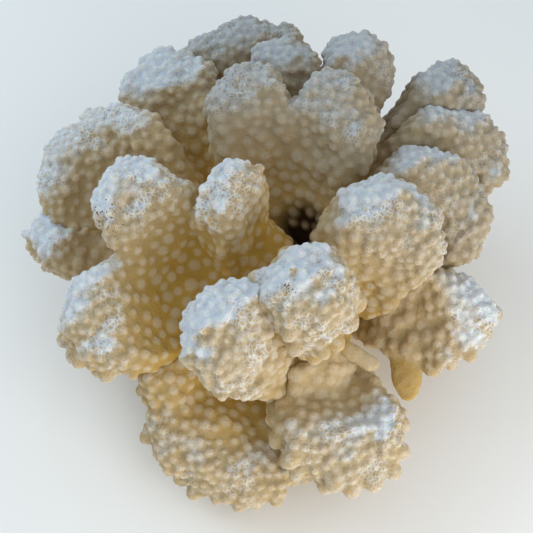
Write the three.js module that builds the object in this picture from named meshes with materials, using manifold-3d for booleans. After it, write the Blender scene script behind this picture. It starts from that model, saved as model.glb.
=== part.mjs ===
// A stony coral of the cauliflower kind, dead and bleached: thick flat branches that fan out of one
// stout base, lobed at their crests and covered in rounded nubs. It stands on the flat cut where it
// was taken off the reef. Millimetres, +Z up, front towards -Y, origin in the middle of the cut.
import * as THREE from 'three';
import { mergeVertices } from 'three/addons/utils/BufferGeometryUtils.js';
import Module from 'manifold-3d';

const wasm = await Module();
wasm.setup();
const { lerp, smoothstep } = THREE.MathUtils;

// Driving dimensions
const FORK_GAP = 0.35; // clear distance between two pieces where they fork
const NUB_HEIGHT = 2.4; // how far a nub stands out of its branch
const NUB_STEP = 8.9; // edge of the triangles that nubs and branches are made of
const ROW_STEP = (NUB_STEP * Math.sqrt(3)) / 2;
const BARE_SHARE = 0.55; // the lowest part of a lobe, next to its root, has no nubs
const FADE_SHARE = 0.44; // nubs get lower from the end of that part down to here
const ROOT_SHARE = 0.5; // width of a lobe at its root, as a share of its crest
const SQUARENESS = 0.8; // shape of a lobe across: 1 is an ellipse, 0 a rectangle
const CORNER_ROUND = 0.6; // the most that the ends of a crest are drawn in, as a share of its width
const SAME_POINT = 1e-3; // vertices closer than this are one

const BASE = { foot: 35, waist: 31, shoulder: 37, shoulderHeight: 24, height: 34, sides: 24 };
const BROW = 0.75; // a ring of the base between its shoulder and the middle of its top, as shares of both
// Waves around the base: how many there are and how high they are, as a share of its radius.
const GIRTH_WAVES = [[3, 0.05], [5, 0.03]];
const RIDGE_SAMPLES = 20; // points of a crest that its middle is taken from
const FINGER_SIDES = { cap: 3, around: 8 }; // facets of a bare finger
const FINGER_AXIS = [0, 1, 0]; // the way a finger lies before it is turned

// Each branch is one piece of one or more lobes, and may carry stubs, short bare fingers. A lobe grows
// from its root, mostly inside the base, to the points of its crest, the ridge line along its tip. Its
// two thicknesses are at the root and below the crest. A bare lobe has no nubs.
const BRANCHES = [
  {
    name: 'left_fan',
    lobes: [
      {
        root: [-14, -8, 20],
        crest: [[-51, -24, 77], [-61, -36, 70], [-57, -49, 61], [-43, -56, 57]],
        thick: [26, 25],
      },
      {
        root: [-12, -4, 22],
        crest: [[-27, -8, 95], [-42, -3, 95], [-51, -12, 90], [-51, -23, 83]],
        thick: [28, 25],
      },
      {
        root: [-6, -6, 26],
        crest: [[-20, -14, 99], [-14, -10, 102], [-9, -14, 102], [-10, -22, 98]],
        thick: [28, 22],
      },
      {
        root: [-6, -8, 20],
        crest: [[-41, -38, 51], [-27, -25, 59], [-12, -14, 64], [3, -5, 64], [11, -5, 59]],
        thick: [24, 24],
      },
    ],
  },
  {
    name: 'heart_branch',
    lobes: [
      {
        root: [4, 13, 22],
        crest: [[-20, 24, 84], [-17, 33, 90], [-4, 40, 96], [8, 32, 93]],
        thick: [32, 22],
      },
      {
        root: [10, 11, 22],
        crest: [[9, 31, 92], [20, 37, 96], [32, 27, 93], [34, 12, 86]],
        thick: [32, 23],
      },
    ],
  },
  {
    name: 'front_ridge',
    lobes: [
      {
        root: [8, -36, 26],
        crest: [[-4, -43, 94], [-13, -50, 90], [-20, -60, 80], [-17, -69, 71]],
        thick: [34, 24],
      },
    ],
  },
  {
    name: 'front_club',
    stubs: [{ from: [14, -39, 61], to: [34, -50, 53], radius: 3.1 }],
    lobes: [
      {
        root: [6, -26, 24],
        crest: [[-1, -42, 96], [8, -45, 98], [18, -49, 96], [26, -54, 91]],
        thick: [24, 30],
      },
    ],
  },
  {
    name: 'right_front_branch',
    lobes: [
      {
        root: [20, -8, 22],
        crest: [[18, -17, 83], [32, -10, 89], [49, -10, 86], [60, -19, 76]],
        thick: [28, 25],
      },
    ],
  },
  {
    name: 'right_middle_branch',
    lobes: [
      {
        root: [24, 2, 22],
        crest: [[37, 8, 80], [54, 17, 79], [69, 15, 70], [77, -4, 57]],
        thick: [26, 20],
      },
    ],
  },
  {
    name: 'right_upper_branch',
    lobes: [
      {
        root: [22, 12, 22],
        crest: [[49, 31, 78], [62, 39, 74], [82, 38, 65], [83, 27, 57], [78, 21, 54]],
        thick: [18, 18],
      },
    ],
  },
  {
    name: 'right_back_branch',
    lobes: [
      {
        root: [20, 22, 22],
        crest: [[50, 48, 71], [60, 58, 77], [70, 57, 77], [79, 47, 70]],
        thick: [18, 19],
      },
    ],
  },
  {
    name: 'tall_branch',
    lobes: [
      {
        root: [14, 26, 22],
        crest: [[20, 55, 82], [28, 64, 85], [38, 65, 84], [45, 55, 78]],
        thick: [18, 20],
      },
    ],
  },
  {
    name: 'back_inner_branch',
    lobes: [
      {
        root: [4, 24, 24],
        crest: [[-7, 53, 85], [1, 58, 88], [11, 57, 88], [20, 49, 84]],
        thick: [18, 19],
      },
    ],
  },
  {
    name: 'back_fan',
    lobes: [
      {
        root: [-2, 28, 20],
        crest: [[-34, 70, 71], [-16, 78, 76], [4, 79, 77], [17, 73, 73]],
        thick: [18, 20],
      },
    ],
  },
  {
    name: 'back_left_branch',
    lobes: [
      {
        root: [-10, 20, 22],
        crest: [[-54, 52, 65], [-42, 64, 75], [-29, 63, 78], [-18, 49, 80]],
        thick: [34, 22],
      },
    ],
  },
  {
    name: 'left_back_branch',
    lobes: [
      {
        root: [-16, 8, 20],
        crest: [[-80, 13, 55], [-75, 34, 63], [-55, 43, 71], [-37, 27, 83]],
        thick: [28, 22],
      },
    ],
  },
  {
    name: 'low_left_branch',
    lobes: [
      {
        root: [-18, 0, 18],
        crest: [[-72, 17, 50], [-81, 12, 47], [-82, 3, 42], [-74, -3, 38]],
        thick: [18, 22],
      },
    ],
  },
  {
    name: 'low_right_branch',
    lobes: [
      {
        root: [28, -8, 26],
        crest: [[50, -13, 53], [66, -15, 50], [76, -21, 44], [74, -30, 36], [57, -37, 29]],
        thick: [22, 18],
      },
      {
        root: [47, -22, 30],
        crest: [[42, -42, 18], [47, -45, 17], [55, -42, 23]],
        thick: [9, 9],
        bare: true,
      },
    ],
  },
  {
    name: 'low_front_right_branch',
    lobes: [
      {
        root: [12, -28, 26],
        crest: [[46, -68, 46], [36, -80, 39], [16, -80, 40], [2, -72, 48]],
        thick: [26, 22],
      },
      {
        root: [10, -26, 28],
        crest: [[29, -53, 54], [18, -53, 57], [6, -54, 58], [-6, -55, 57]],
        thick: [24, 24],
      },
    ],
  },
  {
    name: 'low_front_left_branch',
    lobes: [
      {
        root: [-8, -26, 20],
        crest: [[-40, -55, 36], [-35, -68, 27], [-14, -79, 19], [0, -81, 19], [10, -76, 24]],
        thick: [24, 20],
      },
      {
        root: [-14, -22, 20],
        crest: [[-36, -43, 50], [-38, -51, 45], [-36, -59, 38]],
        thick: [18, 18],
      },
    ],
  },
  {
    name: 'back_low_branch',
    lobes: [
      {
        root: [0, 20, 18],
        crest: [[-24, 68, 33], [-10, 76, 38], [10, 76, 38], [24, 68, 33]],
        thick: [18, 22],
      },
    ],
  },
  {
    name: 'back_right_low_branch',
    lobes: [
      {
        root: [16, 16, 18],
        crest: [[42, 62, 36], [54, 56, 42], [64, 44, 40], [68, 34, 33]],
        thick: [18, 20],
      },
    ],
  },
  {
    name: 'back_left_low_branch',
    lobes: [
      {
        root: [-16, 16, 18],
        crest: [[-40, 60, 34], [-54, 52, 40], [-64, 40, 38], [-66, 30, 32]],
        thick: [18, 20],
      },
    ],
  },
  {
    name: 'right_low_branch',
    lobes: [
      {
        root: [20, 2, 17],
        crest: [[61, 18, 27], [63, 7, 31], [61, -4, 31], [55, -13, 26]],
        thick: [18, 20],
      },
    ],
  },
  {
    name: 'left_low_branch',
    lobes: [
      {
        root: [-18, -8, 17],
        crest: [[-60, -8, 26], [-56, -19, 30], [-49, -29, 30], [-40, -38, 25]],
        thick: [18, 20],
      },
    ],
  },
];

const MATERIAL = { color: 0xeee3cb, roughness: 0.9, metalness: 0 };

const vector = (p) => new THREE.Vector3(...p);

// The middle surface of a lobe, where across runs along the crest and along from root to crest, both
// 0 to 1, and the one direction its faces look in.
function middleSurface({ root, crest }) {
  const ridge = new THREE.CatmullRomCurve3(crest.map(vector));
  const start = vector(root);
  const crown = new THREE.Vector3();
  const samples = ridge.getSpacedPoints(RIDGE_SAMPLES);
  samples.forEach((p) => crown.addScaledVector(p, 1 / samples.length));
  const point = (across, along) => {
    const spread = ridge.getPointAt(across).sub(crown).multiplyScalar(lerp(ROOT_SHARE, 1, along));
    return start.clone().lerp(crown, along).add(spread);
  };
  const crestWay = ridge.getPointAt(1).sub(ridge.getPointAt(0));
  const facing = crestWay.cross(crown.clone().sub(start)).normalize();
  return { point, facing, length: start.distanceTo(crown), width: ridge.getLength() };
}

// The rows of a lobe's grid from crest to root: how far along each lies and how much of the thickness it
// has. They go over the round of the crest and down the faces at an even step, then jump to the root.
function rowsOf(length, round) {
  const rows = [];
  const quarter = (round * Math.PI) / 2;
  let along = 1;
  for (let path = 0; along > BARE_SHARE; path += ROW_STEP) {
    const onRound = path < quarter;
    const below = onRound ? round * (1 - Math.cos(path / round)) : round + path - quarter;
    along = 1 - below / length;
    rows.push({ along, swell: onRound ? Math.sin(path / round) : 1 });
  }
  rows.push({ along: BARE_SHARE / 2, swell: 1 }, { along: 0, swell: 0 });
  return rows;
}

const rounded = (value) => Math.sign(value) * Math.abs(value) ** SQUARENESS;

// Moves every vertex out along its normal, by the same distance or by its own.
function pushOut(geometry, distanceAt) {
  geometry.computeVertexNormals();
  const { position, normal } = geometry.attributes;
  const place = new THREE.Vector3();
  const out = new THREE.Vector3();
  for (let i = 0; i < position.count; i++) {
    out.fromBufferAttribute(normal, i);
    place.fromBufferAttribute(position, i).addScaledVector(out, distanceAt(i));
    position.setXYZ(i, place.x, place.y, place.z);
  }
}

// A lobe is an open tube pinched flat at its crest and its root. Its grid leans half a column a row, so
// the triangles are even and every third vertex, a nub, has only vertices of the branch around it.
function lobeGeometry(lobe, clearance) {
  const { point, facing, length, width } = middleSurface(lobe);
  const columns = 6 * Math.max(2, Math.round((2 * width) / NUB_STEP / 6));
  const [rootThickness, crestThickness] = lobe.thick;
  const rows = rowsOf(length, crestThickness / 2);
  const cornerRound = Math.min(CORNER_ROUND, crestThickness / width);
  const tube = new THREE.CylinderGeometry(1, 1, 1, columns, rows.length - 1, true);
  tube.deleteAttribute('normal');
  tube.deleteAttribute('uv');
  const position = tube.attributes.position;
  const lift = new THREE.BufferAttribute(new Float32Array(position.count), 1);
  for (let i = 0; i < position.count; i++) {
    const column = i % (columns + 1);
    const row = Math.floor(i / (columns + 1));
    const { along, swell } = rows[row];
    const turn = (2 * Math.PI * (column + row / 2)) / columns;
    const reach = 1 - (1 - swell) * cornerRound;
    const across = 0.5 - 0.5 * reach * rounded(Math.cos(turn));
    const half = (lerp(rootThickness, crestThickness, along) / 2) * swell;
    const place = point(across, along).addScaledVector(facing, half * rounded(Math.sin(turn)));
    position.setXYZ(i, place.x, place.y, place.z);
    const isNub = !lobe.bare && (column - row + 3 * rows.length) % 3 === 0;
    lift.setX(i, isNub ? NUB_HEIGHT * smoothstep(along, FADE_SHARE, BARE_SHARE) : 0);
  }
  tube.setAttribute('lift', lift);
  const closed = mergeVertices(tube, SAME_POINT);
  pushOut(closed, (i) => closed.attributes.lift.getX(i) + clearance);
  closed.deleteAttribute('normal');
  closed.deleteAttribute('lift');
  return closed;
}

// A stub is a short bare finger with a round end.
function stubGeometry({ from, to, radius }, clearance) {
  const way = vector(to).sub(vector(from));
  const { cap, around } = FINGER_SIDES;
  const finger = new THREE.CapsuleGeometry(radius + clearance, way.length(), cap, around);
  const turn = new THREE.Quaternion().setFromUnitVectors(vector(FINGER_AXIS), way.clone().normalize());
  const middle = vector(from).lerp(vector(to), 0.5);
  finger.applyQuaternion(turn).translate(middle.x, middle.y, middle.z);
  finger.deleteAttribute('normal');
  finger.deleteAttribute('uv');
  return finger;
}

// The base is a turned stump, flat below, whose girth swells and shrinks around it.
function baseGeometry(clearance) {
  const { foot, waist, shoulder, shoulderHeight, height, sides } = BASE;
  const profile = [
    [0, -clearance],
    [foot + clearance, -clearance],
    [waist + clearance, shoulderHeight / 2],
    [shoulder + clearance, shoulderHeight],
    [shoulder * BROW + clearance, lerp(shoulderHeight, height, BROW) + clearance],
    [0, height + clearance],
  ];
  const stump = new THREE.LatheGeometry(profile.map((p) => new THREE.Vector2(...p)), sides);
  stump.rotateX(Math.PI / 2);
  const position = stump.attributes.position;
  for (let i = 0; i < position.count; i++) {
    const x = position.getX(i);
    const y = position.getY(i);
    const around = Math.atan2(y, x);
    const girth = GIRTH_WAVES.reduce((sum, [count, swell]) => sum + swell * Math.sin(count * around), 1);
    position.setXY(i, x * girth, y * girth);
  }
  stump.deleteAttribute('normal');
  stump.deleteAttribute('uv');
  return stump;
}

function solidOf(geometry) {
  const merged = mergeVertices(geometry, SAME_POINT);
  return new wasm.Manifold(
    new wasm.Mesh({
      numProp: 3,
      vertProperties: merged.attributes.position.array,
      triVerts: new Uint32Array(merged.index.array),
    }),
  );
}

function geometryOf(solid) {
  const { vertProperties, triVerts } = solid.getMesh();
  const geometry = new THREE.BufferGeometry();
  geometry.setAttribute('position', new THREE.BufferAttribute(vertProperties, 3));
  geometry.setIndex(new THREE.BufferAttribute(triVerts, 1));
  return geometry;
}

function branchSolid({ lobes, stubs = [] }, clearance) {
  const grown = [
    ...lobes.map((lobe) => lobeGeometry(lobe, clearance)),
    ...stubs.map((stub) => stubGeometry(stub, clearance)),
  ];
  return grown.map(solidOf).reduce((whole, part) => whole.add(part));
}

const largestBody = (solid) => solid.decompose().reduce((a, b) => (a.volume() > b.volume() ? a : b));

function piece(name, solid) {
  const mesh = new THREE.Mesh(geometryOf(solid), new THREE.MeshStandardMaterial(MATERIAL));
  mesh.name = name;
  return mesh;
}

// A branch stops short of the base and of every branch before it in the list.
const coral = new THREE.Group();
coral.add(piece('base', solidOf(baseGeometry(0))));
const taken = [solidOf(baseGeometry(FORK_GAP))];
for (const branch of BRANCHES) {
  const whole = branchSolid(branch, 0);
  const free = taken.reduce((rest, grown) => rest.subtract(grown), whole);
  coral.add(piece(branch.name, largestBody(free)));
  taken.push(branchSolid(branch, FORK_GAP).add(whole));
}

export default coral;
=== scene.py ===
"""A bleached cauliflower coral on a pale floor.

Every branch of the coral's frame is grown over with fine nubs, wide apart on its faces and crowded along
its crest, and takes one stony finish that reads how high and how far out each point of the surface lies.
"""

from __future__ import annotations

import logging
import math
from dataclasses import dataclass
from enum import Enum

import bmesh
import bpy
import numpy as np
from mathutils import Matrix, Vector
from mathutils.kdtree import KDTree

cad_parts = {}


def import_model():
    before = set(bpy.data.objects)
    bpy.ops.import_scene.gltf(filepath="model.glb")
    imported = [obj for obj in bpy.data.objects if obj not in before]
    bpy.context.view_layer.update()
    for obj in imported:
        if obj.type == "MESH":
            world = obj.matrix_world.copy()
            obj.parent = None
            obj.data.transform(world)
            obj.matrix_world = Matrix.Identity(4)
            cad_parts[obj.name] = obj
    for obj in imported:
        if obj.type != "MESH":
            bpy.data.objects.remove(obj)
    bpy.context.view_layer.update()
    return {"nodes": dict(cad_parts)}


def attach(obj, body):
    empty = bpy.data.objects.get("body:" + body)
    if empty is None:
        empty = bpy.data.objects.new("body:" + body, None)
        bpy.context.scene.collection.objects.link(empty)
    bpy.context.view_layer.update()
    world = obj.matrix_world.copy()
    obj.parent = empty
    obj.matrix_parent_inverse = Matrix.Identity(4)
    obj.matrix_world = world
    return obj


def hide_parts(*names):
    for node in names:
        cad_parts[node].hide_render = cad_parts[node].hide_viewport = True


log = logging.getLogger("coral")

MM = 0.001
BODY = "root"

Point = tuple[float, float, float]
Colour = tuple[float, float, float]
Span = tuple[float, float]


class Mark(Enum):
    """The numbers that a grown surface carries from point to point."""

    LIFT = "lift"
    CROWN = "crown"
    # Crest white: bleaching, with painted light on the side that faces the window light and painted
    # shade on the side away.
    BLEACH_AND_LIGHT = "bleach_and_light"
    # How far out a point lies; the darker tone nearer the heart is partly its own and partly painted
    # shade.
    OUTER = "outer"
    # How deep a point lies between the branches, which the finish paints as shade.
    DEPTH = "depth"
    DIRT = "dirt"
    # Painted shade that darkens whole branches.
    BRANCH_SHADE = "branch_shade"


@dataclass(frozen=True)
class Spot:
    """A round patch on the coral.

    Attributes:
        centre: Its middle, in millimetres.
        reach: Its radius, in millimetres.
        pale: How pale a bare patch is, from 0 to 1.
    """

    centre: Point
    reach: float
    pale: float = 0.0

    def strength(self, points: np.ndarray) -> np.ndarray:
        """How much of the patch each point has, from 1 in the middle to 0 at its edge.

        Args:
            points: Points in metres, one to a row.

        Returns:
            One number for each point.
        """
        away = np.linalg.norm(points - np.array(self.centre) * MM, axis=1)
        return np.clip(1.0 - away / (self.reach * MM), 0.0, 1.0)


@dataclass(frozen=True)
class Dome:
    """The round form that the tips of the branches reach.

    Attributes:
        centre: Its middle, in millimetres.
        half_sizes: How far it reaches along each axis, in millimetres.
    """

    centre: Point = (-6.0, 0.0, 22.0)
    half_sizes: Point = (87.0, 92.0, 82.0)

    def height_in(self, points: np.ndarray) -> np.ndarray:
        """How far out each point lies, from 0 in the heart of the coral to about 1 at a tip.

        Args:
            points: Points in metres, one to a row.

        Returns:
            One number for each point.
        """
        steps = (points / MM - np.array(self.centre)) / np.array(self.half_sizes)
        return np.linalg.norm(steps, axis=1)


# Gaps that get painted shade although they lie far out, and where that painted shade starts and is full.
CREVICES = (Spot((14.0, 2.0, 52.0), 16.0),)
CREVICE_SPAN: Span = (0.0, 0.5)

# How far out the heart of the coral has full painted shade, and where that painted shade ends.
HEART_SPAN: Span = (0.2, 0.5)

# Where a bare patch starts and is full.
BARE_EDGE: Span = (0.0, 0.3)

# Where a nub's pale top starts to fade and where it ends, as shares of the nub's radius.
DISC_EDGE: Span = (0.2, 1.2)

# The share of a branch, in percent, that lies below what counts as its tip.
TIP_PERCENTILE = 98

# Points of a solid that lie closer than this are one point.
MERGE_DISTANCE = 0.001 * MM

BLACK: Colour = (0.0, 0.0, 0.0)


def points_of(mesh: bpy.types.Mesh, what: str = "co") -> np.ndarray:
    """A mesh's vertex places, or another vector of its vertices, as an array of rows.

    Args:
        mesh: The mesh.
        what: The vertex property to read, "co" or "normal".

    Returns:
        An array with three columns.
    """
    flat = np.empty(len(mesh.vertices) * 3, dtype=np.float32)
    mesh.vertices.foreach_get(what, flat)
    return flat.reshape(-1, 3).astype(float)


def ease(values: np.ndarray, low: float, high: float) -> np.ndarray:
    """A smooth step from 0 at low to 1 at high.

    Args:
        values: The numbers to ease.
        low: Where the step starts.
        high: Where the step ends.

    Returns:
        One number from 0 to 1 for each value.
    """
    t = np.clip((values - low) / (high - low), 0.0, 1.0)
    return t * t * (3.0 - 2.0 * t)


def unit(rows: np.ndarray) -> np.ndarray:
    """Vectors brought to length 1.

    Args:
        rows: The vectors, one to a row.

    Returns:
        The vectors at length 1.
    """
    return rows / np.linalg.norm(rows, axis=1, keepdims=True)


def mark(mesh: bpy.types.Mesh, kind: Mark, values: np.ndarray) -> None:
    """Stores one number for each vertex of a mesh.

    Args:
        mesh: The mesh.
        kind: Which of the numbers this is.
        values: One number for each vertex.
    """
    layer = mesh.attributes.new(kind.value, "FLOAT", "POINT")
    layer.data.foreach_set("value", values.astype(np.float32))


def strongest(spots: tuple[Spot, ...], places: np.ndarray) -> np.ndarray:
    """How much of any of some patches each point has.

    Args:
        spots: The patches.
        places: Points in metres, one to a row.

    Returns:
        One number from 0 to 1 for each point.
    """
    most = np.zeros(len(places))
    for spot in spots:
        most = np.maximum(most, spot.strength(places))
    return most


def depth_of(places: np.ndarray) -> np.ndarray:
    """How deep points lie between the branches, which the finish paints as shade.

    Args:
        places: Points in metres, one to a row.

    Returns:
        One number from 0 to 1 for each point.
    """
    inner = 1.0 - ease(Dome().height_in(places), *HEART_SPAN)
    return np.maximum(inner, ease(strongest(CREVICES, places), *CREVICE_SPAN))


def placed(mesh: bpy.types.Mesh) -> bpy.types.Object:
    """Puts a mesh in the scene.

    Args:
        mesh: The mesh, in the coral's frame.

    Returns:
        The new object, which has the mesh's name.
    """
    piece = bpy.data.objects.new(mesh.name, mesh)
    bpy.context.scene.collection.objects.link(piece)
    log.info("%s: %d faces", mesh.name, len(mesh.polygons))
    return piece


def merged_copy(node: bpy.types.Object) -> bmesh.types.BMesh:
    """A copy of a frame node's solid with its loose triangles joined.

    Args:
        node: The node's object.

    Returns:
        A new bmesh, in metres.
    """
    solid = bmesh.new()
    solid.from_mesh(node.data)
    bmesh.ops.remove_doubles(solid, verts=solid.verts, dist=MERGE_DISTANCE)
    return solid


@dataclass(frozen=True)
class Skin:
    """One even skin drawn over closed forms that may overlap.

    Attributes:
        grain: Size of its faces, in millimetres.
        rounds: How many times it is smoothed.
        swell: How far it is then pushed out, in millimetres.
        lump: How high low lumps then stand on it, in millimetres.
        lump_width: How wide those lumps are, in millimetres.
    """

    grain: float
    rounds: int
    swell: float = 0.0
    lump: float = 0.0
    lump_width: float = 9.0

    def over(self, forms: bmesh.types.BMesh, name: str) -> bpy.types.Mesh:
        """Draws the skin and uses up the forms.

        Args:
            forms: The closed forms.
            name: Name of the new mesh.

        Returns:
            The skin as a mesh.
        """
        rough = bpy.data.meshes.new(name + "_forms")
        forms.to_mesh(rough)
        forms.free()
        holder = bpy.data.objects.new(rough.name, rough)
        bpy.context.scene.collection.objects.link(holder)
        remesh = holder.modifiers.new("skin", "REMESH")
        remesh.mode = "VOXEL"
        remesh.voxel_size = self.grain * MM
        smooth = holder.modifiers.new("smooth", "SMOOTH")
        smooth.factor = 0.5
        smooth.iterations = self.rounds
        push = holder.modifiers.new("swell", "DISPLACE")
        push.mid_level = 0.0
        push.strength = self.swell * MM
        if self.lump:
            lumps = bpy.data.textures.new(name + "_lumps", "CLOUDS")
            lumps.noise_scale = self.lump_width * MM
            lumps.noise_depth = 1
            raise_lumps = holder.modifiers.new("lumps", "DISPLACE")
            raise_lumps.texture = lumps
            raise_lumps.strength = self.lump * MM
        graph = bpy.context.evaluated_depsgraph_get()
        skin = bpy.data.meshes.new_from_object(holder.evaluated_get(graph))
        skin.name = name
        bpy.data.objects.remove(holder)
        bpy.data.meshes.remove(rough)
        return skin


@dataclass(frozen=True)
class Nubs:
    """The nubs of one branch: a row of each array for each nub, in metres."""

    places: np.ndarray
    axes: np.ndarray
    radii: np.ndarray
    heights: np.ndarray

    def joined(self, others: Nubs) -> Nubs:
        """These nubs and others as one.

        Args:
            others: The other nubs.

        Returns:
            All the nubs.
        """
        return Nubs(
            np.concatenate([self.places, others.places]),
            np.concatenate([self.axes, others.axes]),
            np.concatenate([self.radii, others.radii]),
            np.concatenate([self.heights, others.heights]),
        )

    def add_to(self, forms: bmesh.types.BMesh, batch: int = 40) -> None:
        """Adds the nubs to other forms, each as a small ball drawn out along its axis.

        Args:
            forms: The forms that the nubs join.
            batch: How many nubs are made together, since small groups are made faster.
        """
        rows = list(zip(self.places, self.axes, self.radii, self.heights))
        made = bpy.data.meshes.new("nubs")
        for start in range(0, len(rows), batch):
            group = bmesh.new()
            for place, axis, radius, height in rows[start : start + batch]:
                drawn_out = Matrix.Translation(place) @ Matrix.Scale(height / radius, 4, axis)
                bmesh.ops.create_icosphere(group, subdivisions=2, radius=radius, matrix=drawn_out)
            group.to_mesh(made)
            group.free()
            forms.from_mesh(made)
        bpy.data.meshes.remove(made)

    def lift_of(self, points: np.ndarray, batch: int = 4000) -> np.ndarray:
        """How close points lie to the middle of their nearest nub.

        Args:
            points: Points in metres, one to a row.
            batch: How many points are looked at together.

        Returns:
            For each point, 0 between the nubs and 1 on the top of one.
        """
        lift = np.zeros(len(points))
        if not len(self.places):
            return lift
        tips = self.places + self.axes * (0.5 * self.heights)[:, None]
        for start in range(0, len(points), batch):
            part = points[start : start + batch]
            gaps = (tips**2).sum(axis=1)[None] - 2.0 * part @ tips.T
            near = gaps.argmin(axis=1)
            arms = part - self.places[near]
            rise = (arms * self.axes[near]).sum(axis=1)
            aside = np.linalg.norm(arms - self.axes[near] * rise[:, None], axis=1)
            lift[start : start + batch] = 1.0 - ease(aside / self.radii[near], *DISC_EDGE)
        return lift


@dataclass(frozen=True)
class NubHabit:
    """How nubs grow on a branch. Sizes are in millimetres, those on a face before those on the crest.

    Attributes:
        spacing: Least distance between nubs.
        radius: Radius of a nub.
        height: How far a nub reaches from its middle.
        size_spread: How unlike in size the nubs are, as a share.
        lean: How much a nub leans out from the heart of the coral.
        droop: How much a nub hangs down.
        perch: How far the middle of a nub stands off the branch, as a share of its height.
        heart: The point that all branches grow out from.
    """

    spacing: Span = (4.0, 2.5)
    radius: Span = (2.2, 1.5)
    height: Span = (0.95, 1.65)
    size_spread: float = 0.16
    lean: float = 0.2
    droop: float = 0.0
    perch: float = 0.1
    heart: Point = (0.0, 0.0, 20.0)

    def scatter(self, core: Core, may_grow: np.ndarray, draw: np.random.Generator) -> Nubs:
        """Chooses where nubs grow, none closer to another than its spacing.

        Args:
            core: The branch below its nubs.
            may_grow: For each point of the core, whether a nub may grow there.
            draw: The source of random numbers.

        Returns:
            The nubs.
        """
        spacing = self.sizes(self.spacing, core.crown)
        taken = np.empty((len(core.places), 3))
        chosen: list[int] = []
        for index in draw.permutation(np.flatnonzero(may_grow)):
            gaps = taken[: len(chosen)] - core.places[index]
            if chosen and (gaps * gaps).sum(axis=1).min() < spacing[index] ** 2:
                continue
            taken[len(chosen)] = core.places[index]
            chosen.append(index)
        places = core.places[chosen]
        crown = core.crown[chosen]
        spread = 1.0 + self.size_spread * draw.standard_normal(len(chosen))
        outward = unit(places - np.array(self.heart) * MM)
        axes = unit(core.normals[chosen] + self.lean * outward - self.droop * np.array([0.0, 0.0, 1.0]))
        heights = self.sizes(self.height, crown) * spread
        middles = places + axes * (self.perch * heights)[:, None]
        return Nubs(middles, axes, self.sizes(self.radius, crown) * spread, heights)

    @staticmethod
    def sizes(ends: Span, crown: np.ndarray) -> np.ndarray:
        """A size that goes from one value on a face to another on the crest.

        Args:
            ends: The size on a face and on the crest, in millimetres.
            crown: How close each point is to the crest, from 0 to 1.

        Returns:
            The size for each point, in metres.
        """
        face, crest = ends
        return (face + (crest - face) * crown) * MM


@dataclass(frozen=True)
class Core:
    """A branch below its nubs: a row of each array for each of its points, in metres."""

    mesh: bpy.types.Mesh
    places: np.ndarray
    normals: np.ndarray
    crown: np.ndarray
    bare: np.ndarray


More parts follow.
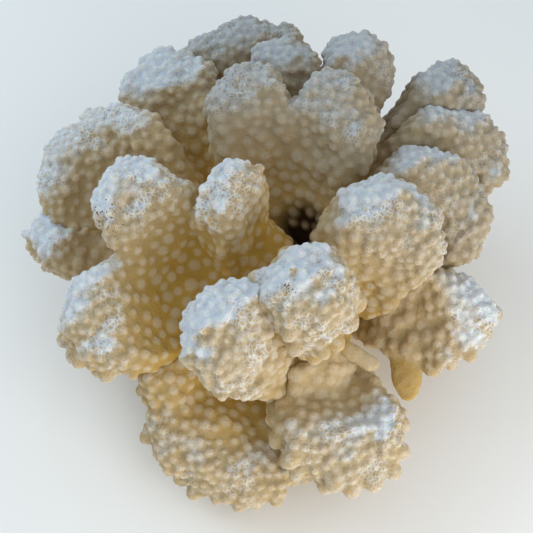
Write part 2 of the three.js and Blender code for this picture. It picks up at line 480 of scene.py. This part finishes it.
@dataclass
class Branch:
    """One branch of the coral, grown over its solid in the frame.

    Attributes:
        node: The node that the branch stands for.
        seed: Start of its random numbers.
        bare_spots: Patches where no nub grows.
        bare_below: No nub grows nearer to the heart of the coral than this.
        crest_span: How far below its tips the crest starts and is full, as shares of the dome.
        light_way: The way that the window light comes from; crest parts that face it are whitened as
            painted light.
        light_way_span: How far a part has to face that way to take a little and all of that painted
            light.
        shaded: How much whiteness the crest parts that face away lose, as painted shade, as a share.
        crest_whiteness: How much of the crest's white it takes, from 0 to 1.
        branch_shaded: How much painted shade darkens the whole branch, from 0 to 1.
        pale_from: How far out the paler tone of its faces starts, as a share of the dome; the darker
            tone nearer the heart is partly painted shade.
        pale_span: How much farther out that tone is full.
        habit: How its nubs grow.
        finger_habit: How the short fingers on its overhanging edges grow.
        finger_slope: The least and the most that such an edge faces up, which is below 0.
        finger_crown: How close to the crest such an edge has to be.
        dome: The form that its tips reach.
        fingers_below: Height below which it has such fingers, in millimetres.
        core_skin: The skin below its nubs.
        fine_skin: The skin over its nubs.
    """

    node: str
    seed: int
    bare_spots: tuple[Spot, ...] = ()
    bare_below: float = 0.42
    crest_span: Span = (0.26, 0.06)
    light_way: Point = (-0.5, 0.4, 0.75)
    light_way_span: Span = (0.25, 0.8)
    shaded: float = 0.8
    crest_whiteness: float = 1.0
    branch_shaded: float = 0.0
    pale_from: float = 0.5
    pale_span: float = 0.38
    habit: NubHabit = NubHabit()
    finger_habit: NubHabit = NubHabit((6.4, 6.0), (2.9, 2.8), (3.8, 3.6), droop=0.6, perch=0.2)
    finger_slope: Span = (-0.7, -0.15)
    finger_crown: float = 0.25
    dome: Dome = Dome()
    fingers_below: float = 0.0
    core_skin: Skin = Skin(grain=1.4, rounds=12, swell=0.1, lump=2.6)
    fine_skin: Skin = Skin(grain=0.74, rounds=1, lump=0.45, lump_width=1.6)

    def crown_of(self, places: np.ndarray) -> np.ndarray:
        """How close points are to the branch's crest.

        Args:
            places: Points in metres, one to a row.

        Returns:
            For each point, 0 well below the crest and 1 on it.
        """
        out = self.dome.height_in(places)
        tip = float(np.percentile(out, TIP_PERCENTILE))
        start, full = self.crest_span
        return ease(out, tip - start, tip - full)

    def bleach_and_light_of(self, places: np.ndarray, core: Core) -> np.ndarray:
        """How white points are: white along the crest from bleaching, with painted light where it faces
        the window light and painted shade where it faces away.

        Args:
            places: Points in metres, one to a row.
            core: The branch below its nubs.

        Returns:
            One number from 0 to 1 for each point.
        """
        tree = KDTree(len(core.places))
        for index, place in enumerate(core.places):
            tree.insert(place, index)
        tree.balance()
        near = [tree.find(place)[1] for place in places]
        lit = ease(core.normals[near] @ np.array(self.light_way), *self.light_way_span)
        return self.crest_whiteness * self.crown_of(places) * (1.0 - self.shaded * (1.0 - lit))

    def bare_at(self, places: np.ndarray) -> np.ndarray:
        """Where the branch has no nubs.

        Args:
            places: Points in metres, one to a row.

        Returns:
            For each point, whether it is bare.
        """
        bare = self.dome.height_in(places) < self.bare_below
        for spot in self.bare_spots:
            bare |= spot.strength(places) > 0.0
        return bare

    def hangs_at(self, core: Core) -> np.ndarray:
        """Where the branch has an overhanging edge, on which nubs grow into short fingers.

        Args:
            core: The branch below its nubs.

        Returns:
            For each point of the core, whether it is on such an edge.
        """
        slope = core.normals[:, 2]
        least, most = self.finger_slope
        low = core.places[:, 2] < self.fingers_below * MM
        edge = (slope > least) & (slope < most) & (core.crown > self.finger_crown)
        return low & edge & ~core.bare

    def core(self, solid: bpy.types.Object) -> Core:
        """The branch below its nubs.

        Args:
            solid: The node's object in the frame.

        Returns:
            Its smooth, slightly lumpy form.
        """
        mesh = self.core_skin.over(merged_copy(solid), self.node + "_core")
        places = points_of(mesh)
        return Core(mesh, places, points_of(mesh, "normal"), self.crown_of(places), self.bare_at(places))

    def grow(self, solid: bpy.types.Object, dirt: tuple[Spot, ...]) -> bpy.types.Object:
        """Makes the branch.

        Args:
            solid: The node's object in the frame.
            dirt: The patches of the coral where dirt sits.

        Returns:
            The finished piece, without a material.
        """
        core = self.core(solid)
        draw = np.random.default_rng(self.seed)
        nubs = self.habit.scatter(core, ~core.bare, draw)
        nubs = nubs.joined(self.finger_habit.scatter(core, self.hangs_at(core), draw))
        forms = bmesh.new()
        nubs.add_to(forms)
        forms.from_mesh(core.mesh)
        mesh = self.fine_skin.over(forms, self.node + "_coral")
        bpy.data.meshes.remove(core.mesh)
        self.note_surface(mesh, core, nubs, dirt)
        mesh.shade_smooth()
        return placed(mesh)

    def note_surface(
        self, mesh: bpy.types.Mesh, core: Core, nubs: Nubs, dirt: tuple[Spot, ...]
    ) -> None:
        """Stores what the finish reads from the surface.

        Args:
            mesh: The grown mesh.
            core: The branch below its nubs.
            nubs: The branch's nubs.
            dirt: The patches of the coral where dirt sits.
        """
        places = points_of(mesh)
        lift = nubs.lift_of(places)
        outer = ease(self.dome.height_in(places), self.pale_from, self.pale_from + self.pale_span)
        for spot in self.bare_spots:
            share = ease(spot.strength(places), *BARE_EDGE)
            lift = np.maximum(lift, spot.pale * share)
            outer *= 1.0 - (1.0 - spot.pale) * share
        mark(mesh, Mark.LIFT, lift)
        mark(mesh, Mark.CROWN, self.crown_of(places))
        # Crest white: bleaching with painted light and painted shade.
        mark(mesh, Mark.BLEACH_AND_LIGHT, self.bleach_and_light_of(places, core))
        mark(mesh, Mark.OUTER, outer)
        # Painted shade deep between the branches.
        mark(mesh, Mark.DEPTH, depth_of(places))
        mark(mesh, Mark.DIRT, strongest(dirt, places))
        # Painted shade over the whole branch.
        mark(mesh, Mark.BRANCH_SHADE, np.full(len(places), self.branch_shaded))


@dataclass
class Stump:
    """The base that the branches fork from, cut off flat below. Sizes are in millimetres.

    Attributes:
        node: The node that the stump stands for.
        sink: How far its form reaches below the cut before it is trimmed.
        rim: Height of the form's lowest band, which is drawn down below the cut.
        tone: How pale its surface is, from 0 to 1.
        skin: The skin over its form.
    """

    node: str = "base"
    sink: float = 5.0
    rim: float = 0.5
    tone: float = 0.3
    skin: Skin = Skin(grain=1.3, rounds=8, swell=0.3, lump=3.0, lump_width=12.0)

    def grow(self, solid: bpy.types.Object) -> bpy.types.Object:
        """Makes the stump.

        Args:
            solid: The node's object in the frame.

        Returns:
            The finished piece, whose second material is the cut's.
        """
        form = merged_copy(solid)
        for vert in form.verts:
            if vert.co.z < self.rim * MM:
                vert.co.z -= self.sink * MM
        mesh = self.skin.over(form, self.node + "_coral")
        self.cut_flat(mesh)
        places = points_of(mesh)
        mark(mesh, Mark.LIFT, np.full(len(places), self.tone))
        # Painted shade deep between the branches, as on them.
        mark(mesh, Mark.DEPTH, depth_of(places))
        for kind in (Mark.CROWN, Mark.BLEACH_AND_LIGHT, Mark.OUTER, Mark.DIRT, Mark.BRANCH_SHADE):
            mark(mesh, kind, np.zeros(len(places)))
        mesh.shade_smooth()
        return placed(mesh)

    def cut_flat(self, mesh: bpy.types.Mesh) -> None:
        """Trims a mesh at the floor and closes it with one flat face.

        Args:
            mesh: The mesh, which is changed.
        """
        form = bmesh.new()
        form.from_mesh(mesh)
        everything = form.verts[:] + form.edges[:] + form.faces[:]
        bmesh.ops.bisect_plane(form, geom=everything, plane_no=(0.0, 0.0, 1.0), clear_inner=True)
        edge = [side for side in form.edges if side.is_boundary]
        closing = bmesh.ops.holes_fill(form, edges=edge, sides=0)["faces"]
        for face in closing:
            face.material_index = 1
            face.smooth = False
        bmesh.ops.recalc_face_normals(form, faces=form.faces)
        form.to_mesh(mesh)
        form.free()


class Value:
    """A number that changes over a surface. Arithmetic on it adds Math nodes."""

    def __init__(self, kit: NodeKit, socket: bpy.types.NodeSocket) -> None:
        self.kit = kit
        self.socket = socket

    def _math(self, operation: str, first: Value | float, second: Value | float) -> Value:
        """One Math node.

        Args:
            operation: The node's operation.
            first: Its first number.
            second: Its second number.

        Returns:
            The node's result.
        """
        node = self.kit.add("ShaderNodeMath", {"operation": operation}, {0: first, 1: second})
        return Value(self.kit, node.outputs[0])

    def __add__(self, other: Value | float) -> Value:
        """The sum."""
        return self._math("ADD", self, other)

    __radd__ = __add__

    def __sub__(self, other: Value | float) -> Value:
        """The difference."""
        return self._math("SUBTRACT", self, other)

    def __rsub__(self, other: float) -> Value:
        """The difference from a number."""
        return self._math("SUBTRACT", other, self)

    def __mul__(self, other: Value | float) -> Value:
        """The product."""
        return self._math("MULTIPLY", self, other)

    __rmul__ = __mul__

    def step(self, low: float, high: float) -> Value:
        """A smooth step from 0 at low to 1 at high.

        Args:
            low: Where the step starts.
            high: Where the step ends.

        Returns:
            A number from 0 to 1.
        """
        settings = {"interpolation_type": "SMOOTHSTEP"}
        inputs = {"Value": self, "From Min": low, "From Max": high}
        return Value(self.kit, self.kit.add("ShaderNodeMapRange", settings, inputs).outputs["Result"])


class NodeKit:
    """Adds nodes to one material."""

    def __init__(self, name: str) -> None:
        """Starts a material with an empty tree."""
        self.material = bpy.data.materials.new(name)
        self.material.use_nodes = True
        self.tree = self.material.node_tree
        self.tree.nodes.clear()

    def add(
        self, kind: str, settings: dict[str, object], inputs: dict[int | str, object]
    ) -> bpy.types.Node:
        """One node.

        Args:
            kind: The node's type.
            settings: Properties of the node, which are set first.
            inputs: For each input, by name or place, a number, a colour, a socket or a Value.

        Returns:
            The node.
        """
        node = self.tree.nodes.new(kind)
        for name, setting in settings.items():
            setattr(node, name, setting)
        for name, given in inputs.items():
            source = given.socket if isinstance(given, Value) else given
            if isinstance(source, bpy.types.NodeSocket):
                self.tree.links.new(source, node.inputs[name])
            else:
                node.inputs[name].default_value = source
        return node

    def read(self, kind: Mark) -> Value:
        """A number that the surface carries."""
        settings = {"attribute_type": "GEOMETRY", "attribute_name": kind.value}
        return Value(self, self.add("ShaderNodeAttribute", settings, {}).outputs["Fac"])

    def place(self) -> bpy.types.NodeSocket:
        """The place of a point on its piece."""
        return self.add("ShaderNodeTexCoord", {}, {}).outputs["Object"]

    def noise(self, size: float, detail: float = 3.0) -> Value:
        """Cloudy unevenness.

        Args:
            size: Size of its clouds, in millimetres.
            detail: How many finer clouds it holds.

        Returns:
            A number about 0.5.
        """
        inputs = {"Vector": self.place(), "Scale": 1.0 / (size * MM), "Detail": detail}
        return Value(self, self.add("ShaderNodeTexNoise", {}, inputs).outputs["Fac"])

    def cells(self, size: float, feature: str = "F1") -> bpy.types.Node:
        """A pattern of round cells.

        Args:
            size: Distance between cells, in millimetres.
            feature: What the pattern's distance is measured to.

        Returns:
            The Voronoi node.
        """
        coarse = {"Vector": self.place(), "Scale": 0.4 / (size * MM)}
        shake = self.add("ShaderNodeTexNoise", {}, coarse)
        moved = self.add(
            "ShaderNodeVectorMath",
            {"operation": "MULTIPLY_ADD"},
            {0: shake.outputs["Color"], 1: (size * MM,) * 3, 2: self.place()},
        )
        inputs = {"Vector": moved.outputs[0], "Scale": 1.0 / (size * MM)}
        return self.add("ShaderNodeTexVoronoi", {"feature": feature}, inputs)

    def blend(self, share: Value, first: object, second: object) -> bpy.types.NodeSocket:
        """A colour between two.

        Args:
            share: How much of the second, from 0 to 1.
            first: A colour or a colour's socket.
            second: A colour or a colour's socket.

        Returns:
            The colour's socket.
        """
        colours = [c if isinstance(c, bpy.types.NodeSocket) else (*c, 1.0) for c in (first, second)]
        settings = {"data_type": "RGBA", "clamp_factor": True}
        inputs = {0: share, 6: colours[0], 7: colours[1]}
        return self.add("ShaderNodeMix", settings, inputs).outputs[2]


@dataclass(frozen=True)
class StonyFinish:
    """The matt, porous skeleton: amber between the nubs, cream on them and white along the crests, with
    painted light, painted shade and a painted glow.

    Attributes:
        name: Name of the material.
        inner_hollow: Colour between the nubs near the heart of the coral, deeper and darker: partly its
            own tone, partly painted shade.
        inner_nub: Colour of the nubs there, likewise partly painted shade.
        outer_hollow: Colour between the nubs near the tips.
        outer_nub: Colour of the nubs there.
        lace: Colour of the white crests: their own white, tinted blue as painted cool light.
        branch_shade: Colour of the painted shade over whole branches.
        inner_painted_glow: Painted glow near the heart of the coral: emitted light that stands in for
            light shining through.
        outer_painted_glow: Painted glow near the tips, emitted likewise.
        crevice_shade: Colour of the painted shade deep between the branches.
        dirt: Colour of the specks.
        roughness: Its roughness.
        gloss: Strength of its reflections.
        cloud_size: Size of its soft cloudy patches, in millimetres like the sizes below.
        edge_size: Size of the unevenness along a nub's edge.
        worn_size: Size of the worn patches, in which the lace stands out.
        pit_spacing: Distance between the pits of the lace.
        grain_size: Size of its finest grains.
        relief: Height of its fine relief.
        speck_size: Size of a speck.
        relief_strength: How strongly the fine relief shows, from 0 to 1.
        glow: How much light passes under its surface, from 0 to 1.
        glow_reach: How far that light goes.
        glow_tint: How far its red, green and blue go, as shares of that reach.
        nub_edge: Where the colour of a nub starts and is full, as shares of its lift.
        pit_edge: Where the wall round a pit is full and where it ends, as shares of the spacing.
        worn_edge: How cloudy a place is where a worn patch starts and is full.
        white_edge: Where the crest's white starts and is full, by its mark of bleaching, painted light
            and painted shade.
        speck_edge: How grainy a place is where a speck starts and is full.
    """

    name: str = "coral_skeleton"
    inner_hollow: Colour = (0.38, 0.235, 0.035)
    inner_nub: Colour = (0.435, 0.355, 0.23)
    outer_hollow: Colour = (0.43, 0.325, 0.175)
    outer_nub: Colour = (0.46, 0.37, 0.245)
    lace: Colour = (0.615, 0.665, 0.715)
    branch_shade: Colour = (0.14, 0.165, 0.175)
    inner_painted_glow: Colour = (0.066, 0.040, 0.010)
    outer_painted_glow: Colour = (0.020, 0.012, 0.004)
    crevice_shade: Colour = (0.03, 0.008, 0.001)
    dirt: Colour = (0.02, 0.018, 0.014)
    roughness: float = 0.8
    gloss: float = 0.3
    cloud_size: float = 9.0
    edge_size: float = 2.4
    worn_size: float = 11.0
    pit_spacing: float = 1.4
    grain_size: float = 0.8
    relief: float = 0.6
    speck_size: float = 0.9
    relief_strength: float = 0.8
    glow: float = 0.75
    glow_reach: float = 3.5
    glow_tint: Colour = (1.0, 0.65, 0.3)
    nub_edge: Span = (0.05, 0.85)
    pit_edge: Span = (0.0, 0.3)
    worn_edge: Span = (0.46, 0.66)
    white_edge: Span = (0.05, 0.9)
    speck_edge: Span = (0.81, 0.85)

    def material(self) -> bpy.types.Material:
        """Makes the material.

        Returns:
            The material.
        """
        kit = NodeKit(self.name)
        kit.material.cycles.emission_sampling = "NONE"
        lift = kit.read(Mark.LIFT)
        outer = kit.read(Mark.OUTER)
        cloud = kit.noise(self.cloud_size)
        edge = Value(kit, kit.cells(self.pit_spacing, "DISTANCE_TO_EDGE").outputs["Distance"])
        wall = 1.0 - edge.step(*self.pit_edge)
        worn = kit.noise(self.worn_size, 1.0).step(*self.worn_edge)
        # Painted shade deep between the branches, lighter on the nubs.
        dark = kit.read(Mark.DEPTH) * (1.0 - 0.5 * lift)
        colour = self.face_tone(kit, lift, outer, cloud)
        laced = (0.15 + 0.45 * worn) * kit.read(Mark.CROWN) * (wall - 0.4)
        # The crest's white: bleaching with painted light and shade from the mark, with paler nubs,
        # clouds and lace.
        white = kit.read(Mark.BLEACH_AND_LIGHT) + 0.1 * (lift - 0.5) + 0.2 * (cloud - 0.5) + laced
        colour = kit.blend(white.step(*self.white_edge), colour, self.lace)
        # Painted shade over whole branches, most towards the back.
        colour = kit.blend(kit.read(Mark.BRANCH_SHADE), colour, self.branch_shade)
        # Lays the painted shade deep between the branches.
        colour = kit.blend(dark, colour, self.crevice_shade)
        colour = kit.blend(self.specks(kit), colour, self.dirt)
        # A painted glow: emitted light that lightens the faces in place of light shining through, none
        # where the painted shade is full.
        glow = kit.blend(outer, self.inner_painted_glow, self.outer_painted_glow)
        shader = kit.add(
            "ShaderNodeBsdfPrincipled",
            {"subsurface_method": "RANDOM_WALK"},
            {
                "Base Color": colour,
                "Roughness": self.roughness,
                "Normal": self.fine_relief(kit, wall, worn),
                "Subsurface Weight": self.glow,
                "Subsurface Radius": self.glow_tint,
                "Subsurface Scale": self.glow_reach * MM,
                "Specular IOR Level": self.gloss,
                "Emission Color": kit.blend(dark, glow, BLACK),
                "Emission Strength": 1.0,
            },
        )
        kit.add("ShaderNodeOutputMaterial", {}, {"Surface": shader.outputs["BSDF"]})
        return kit.material

    def face_tone(self, kit: NodeKit, lift: Value, outer: Value, cloud: Value) -> bpy.types.NodeSocket:
        """The tone of the faces, before the crest's white and the painted shade are laid over it.

        Args:
            kit: The material's nodes.
            lift: How close a point is to the middle of a nub.
            outer: How far out a point lies.
            cloud: Soft cloudy patches.

        Returns:
            The colour's socket.
        """
        uneven = 0.4 * (cloud - 0.5) + 0.5 * (kit.noise(self.edge_size) - 0.5)
        raised = (lift + uneven).step(*self.nub_edge)
        inner_tone = kit.blend(raised, self.inner_hollow, self.inner_nub)
        outer_tone = kit.blend(raised, self.outer_hollow, self.outer_nub)
        # Darker nearer the heart: partly its own tone, partly painted shade.
        return kit.blend(outer, inner_tone, outer_tone)

    def fine_relief(self, kit: NodeKit, wall: Value, worn: Value) -> bpy.types.NodeSocket:
        """The pits and grains that are too fine for the mesh.

        Args:
            kit: The material's nodes.
            wall: 1 on the lace and 0 in its pits.
            worn: 1 in a worn patch and 0 beside it.

        Returns:
            The normal's socket.
        """
        bleach_and_light = kit.read(Mark.BLEACH_AND_LIGHT)
        pits = wall * (0.2 + 0.6 * bleach_and_light * worn)
        grains = (0.5 + 0.6 * bleach_and_light) * kit.noise(self.grain_size, 3.0)
        inputs = {
            "Height": pits + grains,
            "Distance": self.relief * MM,
            "Strength": self.relief_strength,
        }
        return kit.add("ShaderNodeBump", {}, inputs).outputs["Normal"]

    def specks(self, kit: NodeKit) -> Value:
        """Grains of dirt, thick where the surface is marked dirty and rare elsewhere.

        Args:
            kit: The material's nodes.

        Returns:
            1 on a grain and 0 beside it.
        """
        grainy = kit.noise(self.speck_size, 2.0) + 0.26 * kit.read(Mark.DIRT)
        return grainy.step(*self.speck_edge)


@dataclass(frozen=True)
class CutFinish:
    """The flat cut below: chalky, with the fine tubes that the polyps left.

    Attributes:
        name: Name of the material.
        chalk: Colour between the tubes.
        tube: Colour inside the tubes.
        roughness: Its roughness.
        tube_spacing: Distance between tubes, in millimetres like the sizes below.
        tube_depth: Depth of a tube.
        stain_size: Size of the stains.
        tube_edge: Where a tube's wall starts and is full, as shares of the spacing.
        stain_edge: How cloudy a place is where a stain starts and is full.
    """

    name: str = "coral_cut"
    chalk: Colour = (0.60, 0.56, 0.47)
    tube: Colour = (0.38, 0.30, 0.19)
    roughness: float = 0.9
    tube_spacing: float = 1.3
    tube_depth: float = 0.4
    stain_size: float = 14.0
    tube_edge: Span = (0.2, 0.45)
    stain_edge: Span = (0.3, 0.8)

    def material(self) -> bpy.types.Material:
        """Makes the material.

        Returns:
            The material.
        """
        kit = NodeKit(self.name)
        wall = Value(kit, kit.cells(self.tube_spacing).outputs["Distance"]).step(*self.tube_edge)
        stain = kit.noise(self.stain_size).step(*self.stain_edge)
        colour = kit.blend(wall * (1.0 - 0.5 * stain), self.tube, self.chalk)
        bump = kit.add("ShaderNodeBump", {}, {"Height": wall, "Distance": self.tube_depth * MM})
        inputs = {
            "Base Color": colour,
            "Roughness": self.roughness,
            "Normal": bump.outputs["Normal"],
        }
        shader = kit.add("ShaderNodeBsdfPrincipled", {}, inputs)
        kit.add("ShaderNodeOutputMaterial", {}, {"Surface": shader.outputs["BSDF"]})
        return kit.material


@dataclass(frozen=True)
class Lamp:
    """A square soft light that looks at the coral. Sizes are in millimetres.

    Attributes:
        name: Its name.
        place: Where it hangs.
        size: Length of its side.
        watts: Its power.
        colour: Its colour.
    """

    name: str
    place: Point
    size: float
    watts: float
    colour: Colour

    def hang(self, aim: Point) -> None:
        """Puts the light in the scene.

        Args:
            aim: The point that it looks at.
        """
        lamp = bpy.data.lights.new(self.name, "AREA")
        lamp.size = self.size * MM
        lamp.energy = self.watts
        lamp.color = self.colour
        holder = bpy.data.objects.new(self.name, lamp)
        holder.location = Vector(self.place) * MM
        way = (Vector(aim) - Vector(self.place)).normalized()
        holder.rotation_euler = way.to_track_quat("-Z", "Y").to_euler()
        bpy.context.scene.collection.objects.link(holder)


@dataclass(frozen=True)
class Stage:
    """The pale floor, the soft light and the camera. Sizes are in millimetres.

    Attributes:
        floor_size: Length of the floor's side.
        floor_tone: Colour of the floor.
        floor_roughness: The floor's roughness.
        floor_shade: How dark the floor's darkest clouds are, as a share of its colour.
        floor_cloud: Size of those clouds.
        aim: The point that the camera and the lights look at.
        camera_distance: How far the camera is from it.
        camera_elevation: How steeply the camera looks down, in degrees.
        view_width: Width of what the picture shows at that distance.
        sensor: Width of the camera's sensor.
        sky: Colour of the light from all round.
        sky_strength: Strength of that light.
        lamps: The soft lights.
    """

    floor_size: float = 6000.0
    floor_tone: Colour = (0.94, 0.92, 0.89)
    floor_roughness: float = 0.7
    floor_shade: float = 0.97
    floor_cloud: float = 400.0
    aim: Point = (0.0, -5.0, 44.0)
    camera_distance: float = 460.0
    camera_elevation: float = 55.0
    view_width: float = 184.0
    sensor: float = 36.0
    sky: Colour = (0.84, 0.93, 1.0)
    sky_strength: float = 0.63
    lamps: tuple[Lamp, ...] = (
        Lamp("window", (-350.0, 150.0, 420.0), 420.0, 0.98, (0.72, 0.88, 1.0)),
        Lamp("room", (180.0, -280.0, 420.0), 300.0, 0.3, (1.0, 0.96, 0.9)),
        Lamp("bounce", (240.0, -390.0, 110.0), 300.0, 1.38, (1.0, 0.96, 0.9)),
    )

    def set_up(self) -> None:
        """Builds the stage."""
        self.lay_floor()
        for lamp in self.lamps:
            lamp.hang(self.aim)
        self.place_camera()
        world = bpy.data.worlds.new("soft_room")
        world.use_nodes = True
        background = world.node_tree.nodes["Background"]
        background.inputs["Color"].default_value = (*self.sky, 1.0)
        background.inputs["Strength"].default_value = self.sky_strength
        bpy.context.scene.world = world
        bpy.context.scene.view_settings.view_transform = "Standard"

    def lay_floor(self) -> None:
        """A wide pale floor at the coral's cut."""
        sheet = bmesh.new()
        bmesh.ops.create_grid(sheet, x_segments=1, y_segments=1, size=self.floor_size / 2 * MM)
        mesh = bpy.data.meshes.new("floor")
        sheet.to_mesh(mesh)
        sheet.free()
        kit = NodeKit("pale_floor")
        shade = tuple(self.floor_shade * c for c in self.floor_tone)
        tone = kit.blend(kit.noise(self.floor_cloud), self.floor_tone, shade)
        inputs = {"Base Color": tone, "Roughness": self.floor_roughness}
        shader = kit.add("ShaderNodeBsdfPrincipled", {}, inputs)
        kit.add("ShaderNodeOutputMaterial", {}, {"Surface": shader.outputs["BSDF"]})
        mesh.materials.append(kit.material)
        floor = bpy.data.objects.new("floor", mesh)
        bpy.context.scene.collection.objects.link(floor)

    def place_camera(self) -> None:
        """The camera, which looks down at the front of the coral."""
        lens = bpy.data.cameras.new("camera")
        lens.sensor_width = self.sensor
        lens.lens = self.sensor * self.camera_distance / self.view_width
        camera = bpy.data.objects.new("camera", lens)
        slope = math.radians(self.camera_elevation)
        back = Vector((0.0, -math.cos(slope), math.sin(slope))) * self.camera_distance
        camera.location = (Vector(self.aim) + back) * MM
        camera.rotation_euler = (math.radians(90.0) - slope, 0.0, 0.0)
        bpy.context.scene.collection.objects.link(camera)
        bpy.context.scene.camera = camera


BARE_FINGER = Spot((32.0, -49.0, 54.0), 10.0, pale=0.7)
BARE_STALK = Spot((46.0, -38.0, 22.0), 10.0, pale=0.25)
DIRT = (
    Spot((-52.0, -18.0, 88.0), 16.0),
    Spot((6.0, -50.0, 97.0), 7.0),
)

# Branches towards the back take the most painted shade (dulled).
BRANCHES = (
    Branch("left_fan", 11, crest_whiteness=0.85, pale_from=0.6, fingers_below=55.0),
    Branch("heart_branch", 12, crest_whiteness=0.55, branch_shaded=0.38),
    Branch("front_ridge", 13),
    Branch("front_club", 14, (BARE_FINGER,), branch_shaded=0.06, pale_from=0.7, fingers_below=90.0),
    Branch("right_front_branch", 15, branch_shaded=0.12),
    Branch("right_middle_branch", 16, branch_shaded=0.24),
    Branch("right_upper_branch", 17, branch_shaded=0.3),
    Branch("right_back_branch", 18, branch_shaded=0.45),
    Branch("tall_branch", 19, branch_shaded=0.4),
    Branch("back_inner_branch", 20, crest_whiteness=0.9, branch_shaded=0.45),
    Branch("back_fan", 21, crest_whiteness=0.65, branch_shaded=0.45),
    Branch("back_left_branch", 22, crest_whiteness=0.9, branch_shaded=0.15),
    Branch("left_back_branch", 23, crest_whiteness=0.6, pale_from=0.4),
    Branch("low_left_branch", 24, crest_whiteness=0.9, pale_from=0.3),
    Branch(
        "low_right_branch",
        25,
        (BARE_STALK,),
        light_way=(0.6, 0.0, 0.7),
        crest_whiteness=0.75,
        pale_from=0.25,
        fingers_below=60.0,
    ),
    Branch("low_front_right_branch", 26, crest_whiteness=0.85, pale_from=0.3, fingers_below=60.0),
    Branch("low_front_left_branch", 27, crest_whiteness=0.5, fingers_below=60.0),
    Branch("back_low_branch", 28, branch_shaded=0.3),
    Branch("back_right_low_branch", 29, branch_shaded=0.3),
    Branch("back_left_low_branch", 30, branch_shaded=0.2),
    Branch("right_low_branch", 31),
    Branch("left_low_branch", 32),
)


def hand_over(piece: bpy.types.Object, node: str, finishes: tuple[bpy.types.Material, ...]) -> None:
    """Gives a piece its finishes and its place in the coral's frame.

    Args:
        piece: The piece.
        node: The node that it stands for.
        finishes: Its materials.
    """
    for finish in finishes:
        piece.data.materials.append(finish)
    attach(piece, BODY)
    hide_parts(node)


def main() -> None:
    """Builds the stage and the coral."""
    logging.basicConfig(level=logging.INFO, format="%(message)s")
    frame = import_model()
    Stage().set_up()
    skeleton = StonyFinish().material()
    cut = CutFinish().material()
    stump = Stump()
    hand_over(stump.grow(frame["nodes"][stump.node]), stump.node, (skeleton, cut))
    for branch in BRANCHES:
        hand_over(branch.grow(frame["nodes"][branch.node], DIRT), branch.node, (skeleton,))


if __name__ == "__main__":
    main()
